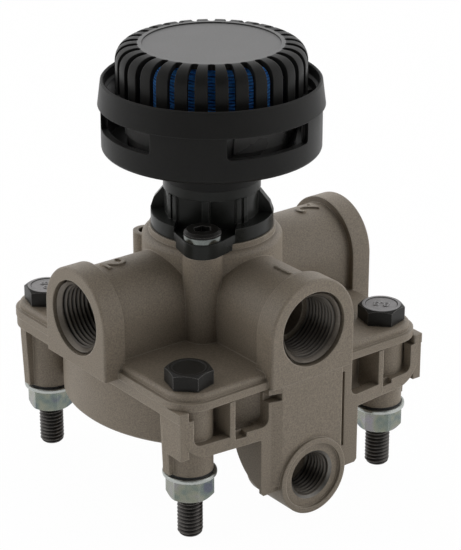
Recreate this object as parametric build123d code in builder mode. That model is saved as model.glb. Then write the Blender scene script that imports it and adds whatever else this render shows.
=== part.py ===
from build123d import *
import math
import os

os.makedirs("parts", exist_ok=True)

# Relay valve of an air brake. Millimetres, +Z up, z = 0 at the free ends of the studs.
# The delivery ports look along -X and +X, the supply port and the control port along -Y.

# Gaps between pieces, and how far one form reaches into the next so that they fuse
run_gap = 0.05
bolt_gap = 0.3
cage_gap = 0.15
sink = 0.5
cut_over = 1.0

# Housing bolts, washers and nuts. Nut and bolt meet at the pitch radius of the thread.
bolt_x = 38.0
bolt_y = 38.7
bolt_r = 4.0
shank_r = 3.6
stud_out = 13.6
stud_chamfer = 0.45
head_h = 5.2
head_chamfer = 0.7
hex_flats = 13.0
nut_h = 8.0
nut_chamfer = 0.6
nut_flange_r = 8.0
nut_flange_h = 2.0
nut_flange_taper = 25.0
washer_r = 7.3
washer_h = 1.2

# Lower housing
leg_r = 7.25
leg_h = 23.6
bowl_over = 10.4
bowl_bottom = 3.4
bowl_floor = 3.8
bowl_chamfer = 0.8
bowl_t = 5.4
lip_in = 0.1
lip_back_in = 0.3
lip_open = 17.5
lip_h = 3.2
corner_r = 10.0
cheek_in = 0.3
cheek_t = 3.0
cheek_len = 9.5
cheek_up = 0.7
rib_t = 3.2
rib_step = 5.4
rib_draft = 0.8
rib_up = 0.4

# Front frame of the lower housing
frame_in = 1.3
frame_out = 8.8
frame_bow = 2.5
frame_t = 3.4
bar_drop = 16.1
bar_h = 4.2
frame_round = 9.0
pocket_over = 2.8
pocket_side = 3.6
pocket_round = 2.5
pocket_depth = 19.0
post_step = 1.8
post_drop = 2.9
web_in = 28.5
web_t = 1.9
web_back = 0.94
web_up = 1.0
web_short = 0.4
web_depth = 12.0
notch_w = 4.0
notch_h = 1.4
block_x = 19.2
block_drop = 35.6
block_foot_t = 1.0
block_foot_h = 2.1
block_depth = 14.0
block_round = 17.0
block_chamfer = 0.9
ridge_x = 11.8
ridge_out = 1.0
ridge_up = 1.9
ridge_draft = 0.9
groove_w = 1.8
groove_drop = 2.4
groove_short = 9.8
groove_depth = 3.0
mark_w = 4.4
mark_h = 2.5
mark_drop = 1.9

# Control port
boss_r = 12.6
boss_out = 2.0
boss_clear = 0.1
boss_len = 18.0
boss_mouth_t = 1.75
boss_mouth_h = 1.0
control_r = 7.19
control_len = 10.0
control_chamfer = 0.9
duct_r = 3.0
duct_in = 2.5

# Flange plate of the upper housing
flange_side = 10.0
flange_end = 10.5
flange_h = 4.7
flange_lip_h = 2.4
crest_in = 1.3
crest_r = 1.2
chamber_in = 1.0
chamber_h = 1.5

# Supply and delivery ports
port_up = 11.3
port_side = 4.9
port_end = 1.8
collar_out = 2.0
collar_len = 7.5
collar_round = 0.8
barrel_t = 2.1
mouth_out = 1.81
mouth_len = 3.1
port_r = 10.19
port_len = 11.0
port_chamfer = 1.0
passage_r = 7.8
passage_over = 1.5

# Tower
tower_t = 6.8
tower_edge = 2.0
ring_in = 2.3
ring_h = 1.9
column_r = 6.1
column_in = 1.2
lug_r = 4.3
lug_drop = 1.9
lug_hole_r = 2.5
lug_hole_len = 12.0

# Inlet seat and cup
cup_r = 15.5
cup_wall = 5.4
cup_floor = 3.4
seat_gap = 2.5
seat_t = 1.2
seat_h = 1.5
seat_flare = 5.0
seat_land = 1.0
seat_draft = 0.6

# Relay piston
exhaust_gap = 2.0
piston_lift = 1.0
piston_foot_in = 14.0
piston_foot_out = 18.0
piston_rim_h = 10.0
piston_rim_t = 6.0
piston_web_h = 4.0
hub_t = 1.5
hub_bore_over = 0.5
hub_bore_h = 6.0
hub_cone_h = 1.5
piston_rib_t = 2.4
piston_rib_low = 2.0
piston_rib_high = 8.0
piston_seal_r = 1.6

# Inlet valve, spring and guide
stem_t = 2.5
stem_short = 1.0
stem_chamfer = 0.8
disc_over = 0.2
disc_h = 3.0
rubber_over = 1.1
rubber_h = 2.0
spring_gap = 1.5
spring_wire_r = 0.8
spring_turns = 3.25
guide_above_passage = 0.4
guide_t = 8.5
guide_h = 6.6
guide_hub_gap = 1.8
guide_hub_h = 3.3
guide_hub_draft = 0.6
guide_seal_r = 1.2
stem_seal_r = 1.0
clip_reach = 2.7
clip_bite = 1.1
clip_h = 1.2
clip_gap_deg = 40.0
cup_over = 4.0

# Seal rings: a groove is this much wider than its ring
groove_ratio = 1.2
joint_seal_out = 2.5
joint_seal_r = 1.0

# Exhaust neck
band_in = 0.6
band_h = 4.6
neck_r = 14.9
neck_h = 8.1
neck_ring_out = 0.5
neck_ring_h = 3.2
neck_bore_r = 9.0
neck_core_t = 3.2
spigot_t = 3.4
spigot_h = 7.4
neck_foot_h = 2.0
funnel_gap = 1.5
funnel_low = 1.2
funnel_h = 2.0
tab_r = 6.1
tab_side_deg = 60.0
tab_drop = 1.8
recess_half_w = 9.5
recess_rib_t = 2.2
recess_rib_gap = 0.4
fin_t = 3.0
fin_edge_h = 0.4
fin_step = 1.0
fin_step_h = 3.4
fin_top_t = 0.4
fin_top_drop = 0.8
stave_t = 1.6
stave_deg = 40.0
neck_seal_r = 0.9

# Neck screws
screw_head_r = 5.8
screw_head_h = 3.2
screw_chamfer = 0.8
screw_r = 3.0
screw_len = 16.0
screw_hole_over = 0.5
screw_socket_flats = 5.0
screw_socket_h = 1.8

# Silencer: the cage's radius sets the bell that carries it and the shell round it
cage_r = 29.65
cage_t = 1.6
cage_h = 18.8
cage_top_t = 2.0
shoulder_x = 5.0
shoulder_z = 6.8
dish_h = 0.5
dish_in = 8.55
slot_in = 9.05
slot_w = 2.3
slot_count = 30
slot_turn = 5.0
slot_low = 4.6
bell_taper = 1.9
bell_t = 1.5
bell_h = 13.0
bell_lip_h = 2.5
bell_flange_in = 0.25
bell_flange_h = 1.2
ring_gap = 3.65
rim_t = 1.0
rim_land_h = 3.5
rim_step_h = 0.4
rim_round = 0.5
shell_out = 0.1
shell_t = 2.1
shell_h = 22.8
shell_base_h = 2.0
shell_round = 1.4
shell_band_out = 0.9
shell_band_up = 14.7
window_h = 7.1
window_deg = 49.9
window_turn = -94.5
window_count = 4
window_round = 1.2
hood_h = 8.0
hood_t = 1.4
hood_off = 0.7
hood_deg = 38.0
silencer_seal_r = 1.0
silencer_seal_drop = 1.7
snap_bite = 1.0
snap_h = 1.2
snap_up = 1.5
foot_collar_t = 3.1
foot_collar_h = 9.4

# Filter
core_t = 1.5
core_seat = 1.6
core_cap_h = 1.5
core_slot_w = 4.0
filter_t = 8.3
filter_edge = 1.0

# Plan sizes, from the bolt pattern outwards
bowl_r = min(bolt_x, bolt_y) + bowl_over
bore_r = bowl_r - bowl_t
flange_x = bolt_x + flange_side
flange_y = bolt_y + flange_end
lip_x = flange_x - lip_in
lip_back = flange_y - lip_back_in
cheek_x = lip_x - cheek_in
frame_x = lip_x - frame_in
frame_end_y = bolt_y + frame_out
frame_mid_y = frame_end_y + frame_bow
pocket_in = block_x - pocket_over
pocket_out = frame_x - pocket_side
ridge_y = frame_mid_y + ridge_out
boss_y = frame_mid_y + boss_out
boss_mouth_r = boss_r - boss_mouth_t
duct_y = bore_r - duct_in
chamber_r = bore_r - chamber_in
joint_seal_mean_r = bore_r + joint_seal_out
port_x = flange_x + port_side
port_y = flange_y + port_end
mouth_r = port_r + mouth_out
barrel_r = mouth_r + barrel_t
collar_r = barrel_r + collar_out

# Radii about the valve's axis, from the cup outwards and inwards
tower_r = cup_r + tower_t
ring_r = tower_r - ring_in
column_circle_r = tower_r - column_in
clip_in = cup_r - clip_reach
clip_out = cup_r + clip_bite
guide_hub_r = clip_in - guide_hub_gap
stem_r = cup_r - guide_t
stem_bore_r = stem_r - stem_t
hub_bore_r = stem_bore_r + hub_bore_over
hub_r = hub_bore_r + hub_t
seat_in = hub_r + seat_gap
seat_out = seat_in + seat_t
rubber_r = seat_out + rubber_over
disc_r = rubber_r + disc_over
spring_mean_r = stem_r + spring_gap + spring_wire_r

# Radii of the exhaust neck
band_r = ring_r - band_in
neck_ring_r = neck_r + neck_ring_out
neck_inner_r = neck_bore_r + neck_core_t
neck_foot_r = cup_r - 2 * run_gap
neck_seal_mean_r = cup_r + run_gap + neck_seal_r
spigot_r = neck_bore_r + spigot_t
snap_in = spigot_r - snap_bite
snap_out = spigot_r + snap_bite

# Radii of the silencer
bell_top_r = cage_r - cage_t - cage_gap
bell_foot_r = bell_top_r - bell_taper
bell_flange_r = cage_r - bell_flange_in
rim_in_r = cage_r + ring_gap
rim_r = rim_in_r + rim_t
shell_r = rim_r + shell_out
shell_in_r = shell_r - shell_t
shell_band_r = shell_r + shell_band_out
dish_r = cage_r - dish_in
slot_in_r = cage_r - slot_in
foot_collar_r = spigot_r + foot_collar_t
core_r = neck_bore_r + core_t
core_cap_r = spigot_r + core_seat
filter_r = core_r + filter_t

# Heights
nut_z = stud_out
washer_z = nut_z + nut_h
leg_z = washer_z + washer_h
joint_z = leg_z + leg_h
plate_z = joint_z + flange_h
port_z = plate_z + port_up
bowl_z = leg_z + bowl_bottom
floor_z = bowl_z + bowl_floor
cup_z = plate_z + cup_floor
seat_z = cup_z + seat_h
hub_top = seat_z - exhaust_gap
piston_z = floor_z + piston_lift
piston_top = piston_z + piston_rim_h
disc_z = seat_z + rubber_h
disc_top = disc_z + disc_h
guide_z = port_z + passage_r + guide_above_passage
guide_top = guide_z + guide_h
stem_top = guide_top + guide_hub_h - stem_short
top_z = guide_top + cup_over
ledge_z = top_z - ring_h
clip_z = guide_top
boss_z = boss_r + boss_clear
bar_z = joint_z - bar_drop
bar_top = bar_z + bar_h
block_z = joint_z - block_drop
neck_z = top_z + band_h
head_z = neck_z - tab_drop
neck_ring_z = neck_z + neck_h
silencer_z = neck_ring_z + neck_ring_h
base_z = silencer_z + foot_collar_h
base_top = base_z + shell_base_h
band_z = base_z + shell_band_up
rim_z = base_z + shell_h
bell_top = base_top + bell_h
cage_top = bell_top + cage_h
filter_top = cage_top - cage_top_t - core_cap_h
snap_z = silencer_z + snap_up
silencer_seal_z = silencer_z + spigot_h - silencer_seal_drop

bolt_spots = GridLocations(2 * bolt_x, 2 * bolt_y, 2, 2)
column_xy = column_circle_r / math.sqrt(2)
screw_spots = Locations((-column_xy, -column_xy), (column_xy, column_xy))
lug_spot = Locations((-column_xy, column_xy))

# Faces of the ports, each plane looking into the valve with its local Y upwards
left_port = Plane(origin=(-port_x, 0, port_z), x_dir=(0, 1, 0), z_dir=(1, 0, 0))
right_port = Plane(origin=(port_x, 0, port_z), x_dir=(0, -1, 0), z_dir=(-1, 0, 0))
front_port = Plane(origin=(0, -port_y, port_z), x_dir=(-1, 0, 0), z_dir=(0, 1, 0))
control_port = Plane(origin=(0, -boss_y, boss_z), x_dir=(-1, 0, 0), z_dir=(0, 1, 0))

with BuildPart() as housing_bolts:
    with BuildSketch(Plane.XY.offset(plate_z)):
        with bolt_spots:
            RegularPolygon(hex_flats / 2, 6, major_radius=False, rotation=15)
    extrude(amount=head_h)
    chamfer(housing_bolts.edges().group_by(Axis.Z)[-1], head_chamfer)
    with BuildSketch(Plane.XY.offset(nut_z)):
        with bolt_spots:
            Circle(shank_r)
    extrude(amount=plate_z - nut_z)
    with BuildSketch():
        with bolt_spots:
            Circle(bolt_r)
    extrude(amount=nut_z)
    chamfer(housing_bolts.edges().group_by(Axis.Z)[0], stud_chamfer)
housing_bolts.part.label = "housing_bolts"
export_step(housing_bolts.part, "parts/housing_bolts.step")

with BuildPart() as captive_washers:
    with BuildSketch(Plane.XY.offset(washer_z)):
        with bolt_spots:
            Circle(washer_r)
            Circle(shank_r, mode=Mode.SUBTRACT)
    extrude(amount=washer_h)
captive_washers.part.label = "captive_washers"
export_step(captive_washers.part, "parts/captive_washers.step")

with BuildPart() as flange_nuts:
    with BuildSketch(Plane.XY.offset(nut_z)):
        with bolt_spots:
            RegularPolygon(hex_flats / 2, 6, major_radius=False, rotation=30)
    extrude(amount=nut_h)
    chamfer(flange_nuts.edges().group_by(Axis.Z)[0], nut_chamfer)
    with BuildSketch(Plane.XY.offset(washer_z)):
        with bolt_spots:
            Circle(nut_flange_r)
    extrude(amount=-nut_flange_h, taper=nut_flange_taper)
    with BuildSketch(Plane.XY.offset(nut_z)):
        with bolt_spots:
            Circle(shank_r)
    extrude(amount=nut_h, mode=Mode.SUBTRACT)
flange_nuts.part.label = "flange_nuts"
export_step(flange_nuts.part, "parts/flange_nuts.step")

with BuildPart() as lower_housing:
    # front frame, bent towards the middle
    with BuildSketch(Plane.XY.offset(bar_z)):
        Polygon(
            (-frame_x, -frame_end_y),
            (-block_x, -frame_mid_y),
            (block_x, -frame_mid_y),
            (frame_x, -frame_end_y),
            (frame_x, frame_t - frame_end_y),
            (block_x, frame_t - frame_mid_y),
            (-block_x, frame_t - frame_mid_y),
            (-frame_x, frame_t - frame_end_y),
            align=None,
        )
    extrude(amount=bar_drop)
    fillet(lower_housing.edges().filter_by(Axis.Y).group_by(Axis.Z)[0], frame_round)
    # block that carries the control port, rounded off below towards the bowl
    with BuildSketch(Plane(origin=(0, -frame_mid_y, 0), x_dir=(0, 1, 0), z_dir=(1, 0, 0))):
        with BuildLine():
            foot = Polyline(
                (block_depth, bowl_z + bowl_chamfer),
                (block_depth, joint_z),
                (0, joint_z),
                (0, block_z),
                (block_foot_t, block_z),
                (block_foot_t, block_z + block_foot_h),
            )
            RadiusArc(foot @ 1, foot @ 0, -block_round)
        make_face()
    extrude(amount=block_x, both=True)
    chamfer(lower_housing.edges().filter_by(Axis.Y).group_by(Axis.Z)[0], block_chamfer)
    # pockets of the frame, each with a web and a notch beside it
    for side in (-1, 1):
        web_mid = side * (web_in + web_t / 2)
        with BuildSketch(Plane.XZ.offset(frame_mid_y + cut_over)) as pocket:
            with Locations((side * (pocket_in + pocket_out) / 2, bar_top)):
                Rectangle(pocket_out - pocket_in, bar_drop, align=(Align.CENTER, Align.MIN))
            fillet(pocket.vertices().group_by(Axis.Y)[0], pocket_round)
            with Locations((side * (pocket_out + post_step / 2), joint_z - post_drop)):
                Rectangle(post_step, bar_drop, align=(Align.CENTER, Align.MIN))
        extrude(amount=-(pocket_depth + cut_over), mode=Mode.SUBTRACT)
        with BuildSketch(Plane.XZ.offset(frame_mid_y - web_back)):
            with Locations((web_mid, bar_z + web_up)):
                Rectangle(web_t, bar_drop - web_up - web_short, align=(Align.CENTER, Align.MIN))
        extrude(amount=-web_depth)
        with BuildSketch(Plane.XZ.offset(frame_mid_y + cut_over)):
            with Locations((web_mid + (web_t + notch_w) / 2, bar_top)):
                Rectangle(notch_w, 2 * notch_h)
        extrude(amount=-(frame_t + cut_over), mode=Mode.SUBTRACT)
    # bowl, legs with their outer ribs, and the lip round the joint
    with BuildSketch(Plane.XZ):
        Polygon(
            (0, bowl_z),
            (bowl_r - bowl_chamfer, bowl_z),
            (bowl_r, bowl_z + bowl_chamfer),
            (bowl_r, joint_z),
            (0, joint_z),
            align=None,
        )
    revolve(axis=Axis.Z)
    with BuildSketch(Plane.XY.offset(leg_z)):
        with bolt_spots:
            Circle(leg_r)
    extrude(amount=leg_h)
    with BuildSketch(Plane.XY.offset(joint_z - lip_h)) as lip:
        with Locations((0, (lip_back - frame_end_y) / 2)):
            Rectangle(2 * lip_x, lip_back + frame_end_y)
        fillet(lip.vertices().group_by(Axis.Y)[-1], corner_r)
        with Locations((0, -frame_end_y)):
            Rectangle(2 * (cheek_x - cheek_t), 2 * lip_open, mode=Mode.SUBTRACT)
    extrude(amount=lip_h)
    for side in (-1, 1):
        with BuildSketch(Plane.XY.offset(bar_z + cheek_up)):
            with Locations((side * (cheek_x - cheek_t / 2), -frame_end_y)):
                Rectangle(cheek_t, cheek_len, align=(Align.CENTER, Align.MIN))
        extrude(amount=bar_drop - cheek_up)
        for rib_y in (-bolt_y, bolt_y):
            with BuildSketch(Plane.XZ.offset(rib_y)):
                Polygon(
                    (side * bolt_x, joint_z),
                    (side * cheek_x, joint_z),
                    (side * cheek_x, joint_z - rib_step),
                    (side * (cheek_x - rib_draft), leg_z + rib_up),
                    (side * bolt_x, leg_z + rib_up),
                    align=None,
                )
            extrude(amount=rib_t / 2, both=True)
    # duct ridge and control port boss
    with BuildSketch(Plane.XY.offset(block_z + ridge_up)):
        Polygon(
            (ridge_draft - pocket_in, sink - frame_mid_y),
            (ridge_draft - pocket_in, -frame_mid_y),
            (-ridge_x, -ridge_y),
            (ridge_x, -ridge_y),
            (ridge_x, sink - frame_mid_y),
            align=None,
        )
    extrude(amount=block_drop - ridge_up)
    with BuildSketch(control_port):
        Circle(boss_r)
    extrude(amount=boss_len)
    with BuildSketch(Plane.XZ.offset(ridge_y + cut_over)):
        with Locations((ridge_x + groove_w / 2, joint_z - groove_drop)):
            Rectangle(groove_w, block_drop - groove_short, align=(Align.CENTER, Align.MAX))
        with Locations((mark_w / 2 - pocket_in, joint_z - mark_drop)):
            Rectangle(mark_w, mark_h, align=(Align.CENTER, Align.MAX))
    extrude(amount=-(ridge_y - frame_mid_y + groove_depth + cut_over), mode=Mode.SUBTRACT)
    # cylinder of the relay piston, groove of the joint seal and bolt holes
    with BuildSketch(Plane.XY.offset(floor_z)):
        Circle(bore_r)
    extrude(amount=joint_z - floor_z, mode=Mode.SUBTRACT)
    with BuildSketch(Plane.XY.offset(joint_z)):
        Circle(joint_seal_mean_r + groove_ratio * joint_seal_r)
        Circle(joint_seal_mean_r - groove_ratio * joint_seal_r, mode=Mode.SUBTRACT)
    extrude(amount=-2 * joint_seal_r, mode=Mode.SUBTRACT)
    with BuildSketch(Plane.XY.offset(leg_z)):
        with bolt_spots:
            Circle(bolt_r + bolt_gap)
    extrude(amount=leg_h, mode=Mode.SUBTRACT)
    # mouth, thread and duct of the control port
    with BuildSketch(control_port):
        Circle(boss_mouth_r)
    extrude(amount=boss_mouth_h, mode=Mode.SUBTRACT)
    with BuildSketch(control_port.offset(boss_mouth_h)):
        Circle(control_r + control_chamfer)
    extrude(amount=control_chamfer, taper=45, mode=Mode.SUBTRACT)
    with BuildSketch(control_port):
        Circle(control_r)
    extrude(amount=boss_mouth_h + control_chamfer + control_len, mode=Mode.SUBTRACT)
    with BuildSketch(control_port):
        Circle(duct_r)
    extrude(amount=boss_y - duct_y, mode=Mode.SUBTRACT)
    with BuildSketch(Plane.XY.offset(boss_z)):
        with Locations((0, -duct_y)):
            Circle(duct_r)
    extrude(amount=floor_z - boss_z, mode=Mode.SUBTRACT)
lower_housing.part.label = "lower_housing"
export_step(lower_housing.part, "parts/lower_housing.step")

with BuildPart() as housing_seal:
    with BuildSketch(Plane.XZ):
        with Locations((joint_seal_mean_r, joint_z - joint_seal_r)):
            Circle(joint_seal_r)
    revolve(axis=Axis.Z)
housing_seal.part.label = "housing_seal"
export_step(housing_seal.part, "parts/housing_seal.step")

with BuildPart() as upper_housing:
    # flange plate with its two-step edge
    with BuildSketch(Plane.XY.offset(joint_z + flange_lip_h)):
        RectangleRounded(2 * (flange_x - crest_in), 2 * (flange_y - crest_in), corner_r - crest_in)
    extrude(amount=flange_h - flange_lip_h)
    fillet(upper_housing.edges().group_by(Axis.Z)[-1], crest_r)
    with BuildSketch(Plane.XY.offset(joint_z)):
        RectangleRounded(2 * flange_x, 2 * flange_y, corner_r)
    extrude(amount=flange_lip_h)
    # collars of the three ports, cut off level with the joint
    for face in (left_port, right_port, front_port):
        with BuildSketch(face):
            Circle(collar_r)
            Rectangle(2 * collar_r, port_z - joint_z, align=(Align.CENTER, Align.MAX))
            with Locations((0, joint_z - port_z)):
                Rectangle(3 * collar_r, collar_r, align=(Align.CENTER, Align.MAX), mode=Mode.SUBTRACT)
        extrude(amount=collar_len)
    collar_faces = ShapeList([
        upper_housing.faces().sort_by(Axis.X)[0],
        upper_housing.faces().sort_by(Axis.X)[-1],
        upper_housing.faces().sort_by(Axis.Y)[0],
    ])
    fillet(collar_faces.edges().filter_by(GeomType.CIRCLE), collar_round)
    for face, reach in ((left_port, port_x), (right_port, port_x), (front_port, port_y)):
        with BuildSketch(face.offset(collar_len)):
            Circle(barrel_r)
            Rectangle(2 * barrel_r, port_up, align=(Align.CENTER, Align.MAX))
        extrude(amount=reach - collar_len)
    # tower with its ledge and the raised ring under the neck
    with BuildSketch(Plane.XY.offset(joint_z + flange_lip_h)):
        Circle(tower_r)
    extrude(amount=ledge_z - joint_z - flange_lip_h)
    fillet(upper_housing.edges().group_by(Axis.Z)[-1], tower_edge)
    with BuildSketch(Plane.XY.offset(plate_z)):
        Circle(ring_r)
    extrude(amount=top_z - plate_z)
    # screw columns and the lug
    with BuildSketch(Plane.XY.offset(joint_z + flange_lip_h)):
        with screw_spots:
            Circle(column_r)
    extrude(amount=ledge_z - joint_z - flange_lip_h)
    with BuildSketch(Plane.XY.offset(joint_z + flange_lip_h)):
        with lug_spot:
            Circle(lug_r)
    extrude(amount=ledge_z - lug_drop - joint_z - flange_lip_h)
    # cup, inlet seat, delivery chamber and grooves
    with BuildSketch(Plane.XZ):
        Polygon(
            (0, joint_z),
            (chamber_r, joint_z),
            (chamber_r, joint_z + chamber_h),
            (seat_in + seat_flare, joint_z + chamber_h),
            (seat_in, cup_z - seat_land),
            (seat_in, seat_z),
            (seat_out, seat_z),
            (seat_out + seat_draft, cup_z),
            (cup_r, cup_z),
            (cup_r, clip_z),
            (clip_out + 2 * run_gap, clip_z),
            (clip_out + 2 * run_gap, clip_z + clip_h + run_gap),
            (cup_r, clip_z + clip_h + run_gap),
            (cup_r, top_z),
            (0, top_z),
            align=None,
        )
    revolve(axis=Axis.Z, mode=Mode.SUBTRACT)
    with BuildSketch(Plane.XY.offset(top_z)):
        Circle(neck_seal_mean_r + neck_seal_r + run_gap)
    extrude(amount=-2 * neck_seal_r, mode=Mode.SUBTRACT)
    # port mouths and threads
    for face in (left_port, right_port, front_port):
        with BuildSketch(face):
            Circle(mouth_r)
        extrude(amount=mouth_len, mode=Mode.SUBTRACT)
        with BuildSketch(face.offset(mouth_len)):
            Circle(port_r + port_chamfer)
        extrude(amount=port_chamfer, taper=45, mode=Mode.SUBTRACT)
        with BuildSketch(face):
            Circle(port_r)
        extrude(amount=mouth_len + port_chamfer + port_len, mode=Mode.SUBTRACT)
    # supply passage into the cup, delivery passages down to the chamber
    with BuildSketch(front_port):
        Circle(passage_r)
    extrude(amount=port_y - cup_r + passage_over, mode=Mode.SUBTRACT)
    for face in (left_port, right_port):
        with BuildSketch(face):
            Circle(passage_r)
        extrude(amount=port_x - cup_r - cup_wall, mode=Mode.SUBTRACT)
    for side in (-1, 1):
        with BuildSketch(Plane.XY.offset(joint_z)):
            with Locations((side * (cup_r + cup_wall + passage_r), 0)):
                Rectangle(2 * passage_r, 2 * passage_r)
        extrude(amount=port_z - joint_z, mode=Mode.SUBTRACT)
    # holes of the housing bolts, of the neck screws and of the lug
    with BuildSketch(Plane.XY.offset(joint_z)):
        with bolt_spots:
            Circle(bolt_r + bolt_gap)
    extrude(amount=flange_h, mode=Mode.SUBTRACT)
    with BuildSketch(Plane.XY.offset(top_z)):
        with screw_spots:
            Circle(screw_r)
    extrude(amount=-(screw_len + screw_hole_over), mode=Mode.SUBTRACT)
    with BuildSketch(Plane.XY.offset(ledge_z - lug_drop)):
        with lug_spot:
            Circle(lug_hole_r)
    extrude(amount=-lug_hole_len, mode=Mode.SUBTRACT)
upper_housing.part.label = "upper_housing"
export_step(upper_housing.part, "parts/upper_housing.step")

with BuildPart() as relay_piston:
    piston_r = bore_r - run_gap
    rim_in = piston_r - piston_rim_t
    web_z = piston_z + piston_web_h
    seal_z = piston_z + piston_rim_h / 2
    with BuildSketch(Plane.XZ):
        Polygon(
            (0, piston_z),
            (piston_foot_in, piston_z),
            (piston_foot_in, floor_z),
            (piston_foot_out, floor_z),
            (piston_foot_out, piston_z),
            (piston_r, piston_z),
            (piston_r, seal_z - groove_ratio * piston_seal_r),
            (piston_r - 2 * piston_seal_r, seal_z - groove_ratio * piston_seal_r),
            (piston_r - 2 * piston_seal_r, seal_z + groove_ratio * piston_seal_r),
            (piston_r, seal_z + groove_ratio * piston_seal_r),
            (piston_r, piston_top),
            (rim_in, piston_top),
            (rim_in - sink, web_z),
            (hub_r, web_z),
            (hub_r, hub_top),
            (hub_bore_r, hub_top),
            (hub_bore_r, hub_top - hub_bore_h),
            (0, hub_top - hub_bore_h - hub_cone_h),
            align=None,
        )
    revolve(axis=Axis.Z)
    for turn in range(6):
        with BuildSketch(Plane.XZ.rotated((0, 0, 60 * turn + 30))):
            Polygon(
                (rim_in, web_z - sink),
                (rim_in, web_z + piston_rib_low),
                (hub_r, web_z + piston_rib_high),
                (hub_bore_r, web_z - sink),
                align=None,
            )
        extrude(amount=piston_rib_t / 2, both=True)
relay_piston.part.label = "relay_piston"
export_step(relay_piston.part, "parts/relay_piston.step")

with BuildPart() as piston_seal:
    with BuildSketch(Plane.XZ):
        with Locations((piston_r - piston_seal_r, seal_z)):
            Circle(piston_seal_r)
    revolve(axis=Axis.Z)
piston_seal.part.label = "piston_seal"
export_step(piston_seal.part, "parts/piston_seal.step")

with BuildPart() as valve_rubber:
    with BuildSketch(Plane.XZ):
        Polygon(
            (stem_bore_r, seat_z),
            (rubber_r, seat_z),
            (rubber_r, disc_z),
            (stem_bore_r, disc_z),
            align=None,
        )
    revolve(axis=Axis.Z)
valve_rubber.part.label = "valve_rubber"
export_step(valve_rubber.part, "parts/valve_rubber.step")

with BuildPart() as inlet_valve:
    with BuildSketch(Plane.XZ):
        Polygon(
            (stem_bore_r, disc_z),
            (disc_r, disc_z),
            (disc_r, disc_top),
            (stem_r, disc_top),
            (stem_r, stem_top - stem_chamfer),
            (stem_r - stem_chamfer, stem_top),
            (stem_bore_r, stem_top),
            align=None,
        )
    revolve(axis=Axis.Z)
inlet_valve.part.label = "inlet_valve"
export_step(inlet_valve.part, "parts/inlet_valve.step")

with BuildPart() as valve_spring:
    spring_low = disc_top + spring_wire_r
    spring_high = guide_z - spring_wire_r
    spring_h = spring_high - spring_low
    with BuildLine():
        coil = Helix(spring_h / spring_turns, spring_h, spring_mean_r, center=(0, 0, spring_low))
    with BuildSketch(Plane(origin=coil @ 0, z_dir=coil % 0)):
        Circle(spring_wire_r)
    sweep(is_frenet=True)
valve_spring.part.label = "valve_spring"
export_step(valve_spring.part, "parts/valve_spring.step")

with BuildPart() as valve_guide:
    guide_r = cup_r - run_gap
    guide_bore = stem_r + run_gap
    guide_mid = guide_z + guide_h / 2
    with BuildSketch(Plane.XZ):
        Polygon(
            (guide_bore, guide_z),
            (guide_r, guide_z),
            (guide_r, guide_mid - groove_ratio * guide_seal_r),
            (cup_r - 2 * guide_seal_r, guide_mid - groove_ratio * guide_seal_r),
            (cup_r - 2 * guide_seal_r, guide_mid + groove_ratio * guide_seal_r),
            (guide_r, guide_mid + groove_ratio * guide_seal_r),
            (guide_r, guide_top),
            (guide_hub_r, guide_top),
            (guide_hub_r - guide_hub_draft, guide_top + guide_hub_h),
            (guide_bore, guide_top + guide_hub_h),
            (guide_bore, guide_mid + groove_ratio * stem_seal_r),
            (guide_bore + 2 * stem_seal_r, guide_mid + groove_ratio * stem_seal_r),
            (guide_bore + 2 * stem_seal_r, guide_mid - groove_ratio * stem_seal_r),
            (guide_bore, guide_mid - groove_ratio * stem_seal_r),
            align=None,
        )
    revolve(axis=Axis.Z)
valve_guide.part.label = "valve_guide"
export_step(valve_guide.part, "parts/valve_guide.step")

with BuildPart() as guide_seal:
    with BuildSketch(Plane.XZ):
        with Locations((cup_r - guide_seal_r, guide_mid)):
            Circle(guide_seal_r)
    revolve(axis=Axis.Z)
guide_seal.part.label = "guide_seal"
export_step(guide_seal.part, "parts/guide_seal.step")

with BuildPart() as valve_stem_seal:
    with BuildSketch(Plane.XZ):
        with Locations((guide_bore + stem_seal_r, guide_mid)):
            Circle(stem_seal_r)
    revolve(axis=Axis.Z)
valve_stem_seal.part.label = "valve_stem_seal"
export_step(valve_stem_seal.part, "parts/valve_stem_seal.step")

with BuildPart() as retaining_ring:
    with BuildSketch(Plane.XZ):
        with Locations(((clip_in + clip_out) / 2, clip_z + clip_h / 2)):
            Rectangle(clip_out - clip_in, clip_h)
    revolve(axis=Axis.Z, revolution_arc=360 - clip_gap_deg)
retaining_ring.part.label = "retaining_ring"
export_step(retaining_ring.part, "parts/retaining_ring.step")

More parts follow.
